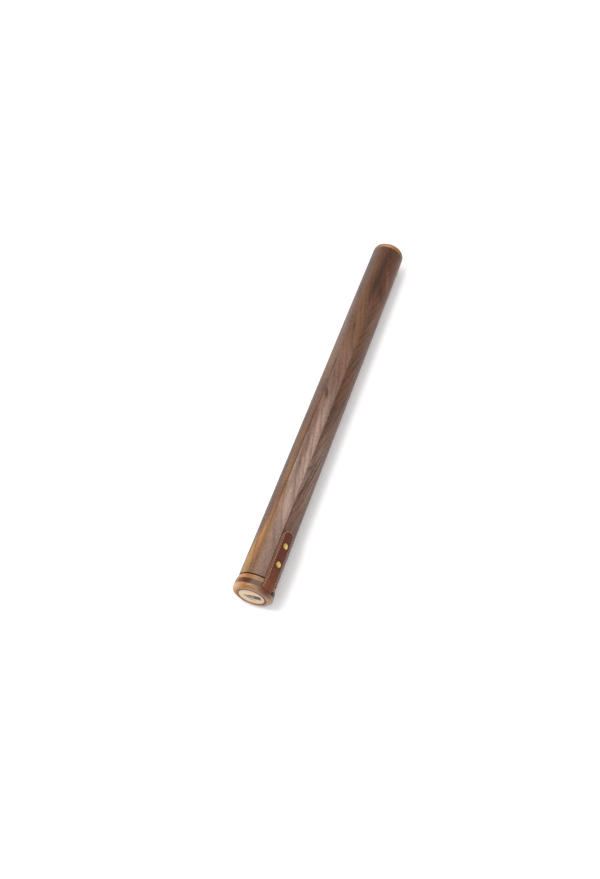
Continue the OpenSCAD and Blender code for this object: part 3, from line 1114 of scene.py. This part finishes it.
# The staves' mouth faces are darker than other end grain: darker end grain, and painted shade for
# the gap between the cap and the mouth.
STAVE_END_GRAIN_AND_GAP_SHADE = 0.42
STAVE_LOOKS = {
    1: dict(
        slant=14, pith=(10, -20), contrast=1.5,
        tones=[
            (45, BROWN), (65, ROSE), (95, ROSE), (112, BROWN),
            (142, RUST), (190, RUST), (225, UMBER), (255, MAHOGANY),
        ],
        streaks=[
            # The first streak runs beside the strap's edge: darker wood by the seam, and painted
            # shade from the strap.
            (-4.4, 16, 0.0, 0.8, 34, NIGHT, 0.9),
            (-2.4, 66, 0.1, 1.0, 30, COFFEE, 0.8),
            (0.6, 74, 0.12, 0.8, 30, COFFEE, 0.7),
            (-3.6, 128, 0.0, 2.4, 60, COFFEE, 0.6),
            (2.0, 132, 0.1, 1.4, 26, NIGHT, 0.4),
            (-3.0, 236, 0.0, 2.6, 50, COFFEE, 0.5),
            (-1.6, 252, -0.4, 1.4, 8, NIGHT, 0.9),
            (0.8, 266, -0.4, 1.8, 8, OLIVE, 0.5),
            (-2.2, 272, -0.3, 1.4, 8, UMBER, 0.6),
        ],
    ),
    2: dict(slant=5, pith=(-16, -24), contrast=1.3, tones=[(0, BROWN), (300, RUST)]),
    3: dict(slant=-4, pith=(8, -30), contrast=1.2, tones=[(0, RUST), (300, BROWN)]),
    4: dict(slant=3, pith=(-6, -18), contrast=1.2, tones=[(0, ROSE), (300, BROWN)]),
    5: dict(slant=-6, pith=(18, -26), contrast=1.3, tones=[(0, BROWN), (300, COFFEE)]),
    6: dict(slant=2, pith=(-12, -34), contrast=1.2, tones=[(0, UMBER), (300, ROSE)]),
    7: dict(
        slant=-5, pith=(16, -24), contrast=1.3, seam_light=0.8,
        tones=[(25, BROWN), (50, DUSK), (130, DUSK), (165, BROWN), (215, BROWN), (250, DUSK)],
        streaks=[
            (4.2, 20, 0.0, 2.4, 50, HONEY, 0.9),
            (-1.2, 0, 0.05, 4.2, 30, SAPWOOD_PALE, 1.1),
            (2.0, 18, 0.05, 1.8, 30, SAPWOOD, 0.9),
            (1.4, 96, -0.02, 3.4, 50, SAPWOOD, 0.25),
            (2.0, 74, -0.05, 2.6, 18, OLIVE, 0.6),
            (1.5, 180, 0.02, 2.4, 24, OLIVE, 0.4),
            (4.6, 250, 0.0, 3.2, 70, UMBER, 0.7),
        ],
    ),
    8: dict(
        slant=-12, pith=(-8, -22), contrast=1.05,
        tones=[
            (0, ROSE), (48, FAWN), (100, FAWN), (134, ROSE), (162, CHESTNUT),
            (180, CHESTNUT), (205, UMBER), (235, RUST), (260, BARK),
        ],
        streaks=[
            (-4.4, 14, 0.0, 3.4, 54, HONEY, 0.8),
            (1.8, 92, -0.02, 2.4, 62, ASH, 0.4),
            (0.4, 54, -0.12, 1.6, 24, ASH, 0.5),
            (-4.2, 60, -0.1, 1.3, 10, OLIVE, 0.8),
            (-3.4, 108, -0.03, 2.4, 56, UMBER, 0.7),
            (-2.6, 144, -0.3, 1.4, 6, NIGHT, 0.7),
            (0.0, 168, -0.2, 1.2, 14, UMBER, 0.5),
            (-2.6, 211, -0.2, 1.2, 4, NIGHT, 0.8),
            (-1.5, 226, -0.2, 3.0, 24, OLIVE, 0.3),
            (-4.4, 250, 0.0, 2.8, 60, UMBER, 0.6),
            (1.8, 270, 0.0, 2.6, 40, NIGHT, 0.85),
        ],
    ),
}


# The rim is redder and darker where the strap's tail meets it: a redder tone, and the painted
# shadow of the strap's tail.
RIM_TAIL_SHADE_PATCH = Patch(OUT * RIM_R + ALONG * (BAND_Y + 1.8), 9.2, CHERRY_SHADED_RED, 1.0)

# Tones lie across the tube from one side to the other, along each lamination's own grain.
DISC_SPAN = (-13, 13)
DISC_LOOKS = {
    "cherry_plug": dict(
        seed=11, angle=10, pores=0.3, contrast=0.7,
        tones=[(-6, CHERRY_DEEP), (1.5, CHERRY_BUFF), (8, CHERRY_AMBER), (13, CHERRY_TAN)],
    ),
    "cherry_collar_wood": dict(
        seed=12, angle=-20, pores=0.3, contrast=0.6, varnish=0.25,
        tones=[
            (-11.5, CHERRY_GOLD), (-9, CHERRY_AMBER), (-6, CHERRY_AMBER), (-4, CHERRY_GREY),
            (-1, CHERRY_TAN), (13, CHERRY_DEEP),
        ],
    ),
    "cherry_rim_wood": dict(
        seed=13, angle=-30, pores=0.3, contrast=0.6, varnish=0.35,
        tones=[
            (-13, CHERRY_PALE), (-11.8, CHERRY_GOLD), (-10, CHERRY_AMBER), (-8.5, CHERRY_AMBER),
            (-6, CHERRY_TAN), (0, CHERRY_TAN), (5, CHERRY_BUFF), (9, CHERRY_TAN),
        ],
        patches=[RIM_TAIL_SHADE_PATCH],
    ),
    "walnut_band_wood": dict(
        seed=14, angle=-10, pores=0.7, contrast=0.8, specular=0.15, varnish=0.12,
        tones=[
            (-13, BAND_PALE), (-11, BAND_RED), (-8.5, BAND_DARK), (-4.5, BAND_DARK),
            (-2.2, BAND_GREY), (2, BAND_GREY), (8, BAND_SHADE),
        ],
    ),
    "walnut_ring_wood": dict(seed=15, angle=30, pores=0.5, tones=[(-13, BAND_RED), (13, MAHOGANY)]),
    "maple_tenon_wood": dict(
        seed=16, angle=25, pores=0.1, contrast=0.35, tones=[(-13, MAPLE_SAND), (13, MAPLE_DEEP)],
    ),
    "maple_medallion_wood": dict(
        seed=17, angle=35, pores=0.08, contrast=0.25, roughness=0.36,
        tones=[(-13, MAPLE_PALE), (13, MAPLE_DUSK)],
    ),
    "mark_wood": dict(
        seed=18, angle=90, pores=0.4, contrast=0.4, tones=[(-2, INK_OLIVE), (0, INK_VIOLET)],
    ),
}


def stave_wood(number, turn):
    """Walnut of one stave, cut with its face outwards."""
    return wood(
        f"walnut_{number}", ALONG, spoke(turn), number, span=STAVE_SPAN,
        seam=TUBE_R * math.sin(STAVE_TURN / 2), end_light=STAVE_END_GRAIN_AND_GAP_SHADE, **STAVE_LOOKS[number],
    )


def disc_wood(name):
    """Wood of a lamination, with its grain across the tube at an angle from level."""
    look = dict(DISC_LOOKS[name])
    angle = math.radians(look.pop("angle"))
    grain = Vector((math.cos(angle), 0, math.sin(angle)))
    return wood(name, grain, ALONG, span=DISC_SPAN, **look)


def strap_leather():
    """Vegetable tanned leather: pebbled grain, pull-up tone, a paler edge rounding that is rubbed
    leather and a painted highlight, and side walls darkened by burnishing and painted shade.
    """
    paint = Paint("strap_leather")
    flat = paint.flat_place()
    edge = paint.add("Attribute", {}, 2, attribute_name="edge")
    warp = paint.noise(flat, (1.1, 1.1, 0), 2)
    creased = paint.vector("MULTIPLY_ADD", flat, (1, 1, 1), (3, 5, 0))
    creased = paint.vector("ADD", creased, paint.combine(warp, warp, 0.0))
    inputs = {"Vector": creased, "Scale": 2.6, "Randomness": 1.0}
    cells = paint.add("TexVoronoi", inputs, "Distance", feature="DISTANCE_TO_EDGE")
    pebble = paint.step(cells, 0.0, 0.16)
    mottle = paint.noise(flat, (0.22, 0.12, 0), 4, 0.6)
    fine = paint.noise(flat, (5.0, 5.0, 0), 3, 0.6)

    along = paint.step(paint.dot(flat, (0, 1, 0)), -10, 34)
    colour = paint.ramp(along, [(0.0, LEATHER_TAIL), (0.3, LEATHER_MID), (1.0, LEATHER_TIP)])
    colour = paint.blend(paint.step(mottle, 0.35, 0.72, 0.0, 0.55), colour, LEATHER_MOTTLE)
    # Paler over the edge's rounding: rubbed leather and a painted highlight.
    colour = paint.blend(paint.step(edge, 0.3, 0.6, 0.75, 0.0), colour, LEATHER_RUBBED_AND_LIT_EDGE)
    # Darkest on the side walls: burnished edge and painted shade.
    colour = paint.blend(paint.step(edge, 0.0, 0.06, 1.0, 0.0), colour, LEATHER_BURNISHED_AND_SHADED_EDGE)
    light = paint.scaled(pebble, 0.24, 0.8)
    colour = paint.lit(colour, paint.plus(light, paint.swing(fine, 0.24)))
    relief = paint.times(pebble, 0.7)
    paint.bump(paint.plus(relief, paint.times(fine, 0.4)), 0.08)
    rough = paint.scaled(fine, 0.2, 0.4)
    return paint.finish(colour, rough, Specular_IOR_Level=0.18)


def fibrous(name, fibres, patches, colours, depth, roughness):
    """A strap material with fine fibres and two colours in soft patches."""
    paint = Paint(name)
    flat = paint.flat_place()
    fibre = paint.noise(flat, *fibres)
    colour = paint.blend(paint.noise(flat, patches), *colours)
    paint.bump(fibre, depth)
    return paint.finish(paint.lit(colour, paint.scaled(fibre, 0.5, 0.75)), roughness)


def lining_leather():
    """The lining's split leather, paler and fibrous."""
    nap = ((6, 6, 6), 4, 0.7)
    colours = (LINING_DARK, LINING_PALE)
    return fibrous("lining_leather", nap, (0.5, 0.3, 0.5), colours, depth=0.06, roughness=0.85)


def waxed_thread():
    """Waxed linen thread with fine fibres along each ply."""
    lint = ((9, 4, 9), 3, 0.6)
    colours = (THREAD_PALE, THREAD_DARK)
    return fibrous("waxed_thread", lint, (0.4, 0.4, 0), colours, depth=0.03, roughness=0.6)


def brass():
    """Brass that has been handled: soft scratches, a trace of tarnish, and rims darkened by tarnish
    and painted shade.
    """
    paint = Paint("brass")
    here = paint.place()
    scratch = paint.noise(here, (2.5, 22, 2.5), 2)
    tarnish = paint.noise(here, (0.7, 0.7, 0.7), 4, 0.6)
    amount = paint.step(tarnish, 0.4, 0.75, 0.0, 0.7)
    colour = paint.blend(amount, BRASS_BRIGHT, BRASS_TARNISHED)
    for y in RIVET_PLACES:
        away = paint.vector("DISTANCE", here, tuple(spot(0, DOME_TOP, y)), output=1)
        # Darker towards the foot of each dome: tarnish, and painted shade where the head meets the
        # leather.
        rim = paint.step(away, 0.65 * HEAD_R, 1.15 * HEAD_R, 0.0, 0.75)
        near = paint.step(away, 2.0 * HEAD_R, 2.1 * HEAD_R, 1.0, 0.0)
        colour = paint.blend(paint.times(rim, near), colour, BRASS_RIM_TARNISH_AND_SHADE)
    paint.bump(scratch, 0.012)
    rough = paint.scaled(scratch, 0.12, 0.16)
    rough = paint.plus(rough, paint.times(tarnish, 0.12))
    return paint.finish(colour, rough, Metallic=1.0)


def nickel():
    """Bright nickel plate on the magnets."""
    paint = Paint("nickel")
    brushed = paint.noise(paint.place(), (18, 3, 18), 2)
    colour = paint.blend(brushed, NICKEL_BRIGHT, NICKEL_DULL)
    paint.bump(brushed, 0.006)
    return paint.finish(colour, paint.scaled(brushed, 0.15, 0.2), Metallic=1.0)


def felt():
    """Pressed wool felt."""
    paint = Paint("felt")
    here = paint.place()
    tuft = paint.noise(here, (2.2, 2.2, 2.2), 5, 0.75)
    hair = paint.noise(here, (9, 9, 9), 3, 0.7)
    colour = paint.blend(tuft, FELT_DARK, FELT_PALE)
    colour = paint.lit(colour, paint.scaled(hair, 0.8, 0.6))
    paint.bump(paint.plus(tuft, paint.times(hair, 0.6)), 0.2)
    return paint.finish(colour, 0.95, Sheen_Weight=0.4)


# ---- floor, light and camera

# These lengths are metres.
FLOOR_HALF = 3.0
ROOM_LIGHT = 1.04
LAMPS = {
    "softbox": dict(location=(-0.42, 0.0, 0.95), size=0.5, power=6.3),
    "window": dict(location=(-0.9, 0.16, 0.38), size=0.16, power=1.1),
}
VIEW_AZIMUTH = math.radians(18.78)
VIEW_ELEVATION = math.radians(55.79)
VIEW_TARGET = Vector((-0.0102, 0.1101, -0.0031))
VIEW_DISTANCE = 0.6
VIEW_RANGE = (0.01, 10)
LENS_MM = 34.88


def make_floor():
    """A pale sheet that the rim and the far end of the tube both rest on."""
    mesh = bpy.data.meshes.new("floor")
    corners = [(x * FLOOR_HALF, y * FLOOR_HALF, 0) for x, y in ((-1, -1), (1, -1), (1, 1), (-1, 1))]
    mesh.from_pydata(corners, [], [(0, 1, 2, 3)])
    floor = placed("floor", mesh)
    floor.location = (0, BAND_Y * MM, -RIM_R * MM)
    floor.rotation_euler = (math.atan((RIM_R - TUBE_R) / (TUBE_END_Y - BAND_Y)), 0, 0)
    paint = Paint("white_sheet")
    tooth = paint.noise(paint.place(), (0.8, 0.8, 0.8), 3)
    colour = paint.blend(tooth, SHEET_SHADE, SHEET_WHITE)
    mesh.materials.append(paint.finish(colour, 0.9, Specular_IOR_Level=0.1))


def add_lamp(name, location, size, power):
    """A square lamp that faces the case."""
    lamp = bpy.data.lights.new(name, "AREA")
    lamp.size = size
    lamp.energy = power
    holder = placed(name, lamp)
    holder.location = location
    holder.rotation_euler = (VIEW_TARGET - Vector(location)).to_track_quat("-Z", "Y").to_euler()


def make_light():
    """A bright room with a large soft lamp to the upper left and a small window beside it."""
    world = bpy.data.worlds.new("room")
    world.use_nodes = True
    background = world.node_tree.nodes["Background"]
    background.inputs["Color"].default_value = grey(1.0)
    background.inputs["Strength"].default_value = ROOM_LIGHT
    bpy.context.scene.world = world
    for name, lamp in LAMPS.items():
        add_lamp(name, **lamp)
    bpy.context.scene.view_settings.view_transform = "Standard"


def make_camera():
    """The photograph's viewing angle."""
    lens = bpy.data.cameras.new("camera")
    lens.lens = LENS_MM
    lens.clip_start, lens.clip_end = VIEW_RANGE
    camera = placed("camera", lens)
    level = math.cos(VIEW_ELEVATION)
    back = Vector((
        math.sin(VIEW_AZIMUTH) * level,
        -math.cos(VIEW_AZIMUTH) * level,
        math.sin(VIEW_ELEVATION),
    ))
    camera.location = VIEW_TARGET + back * VIEW_DISTANCE
    camera.rotation_euler = (-back).to_track_quat("-Z", "Y").to_euler()
    bpy.context.scene.camera = camera


make_staves()
make_tube_fittings()
make_cap()
make_strap()
make_floor()
make_light()
make_camera()
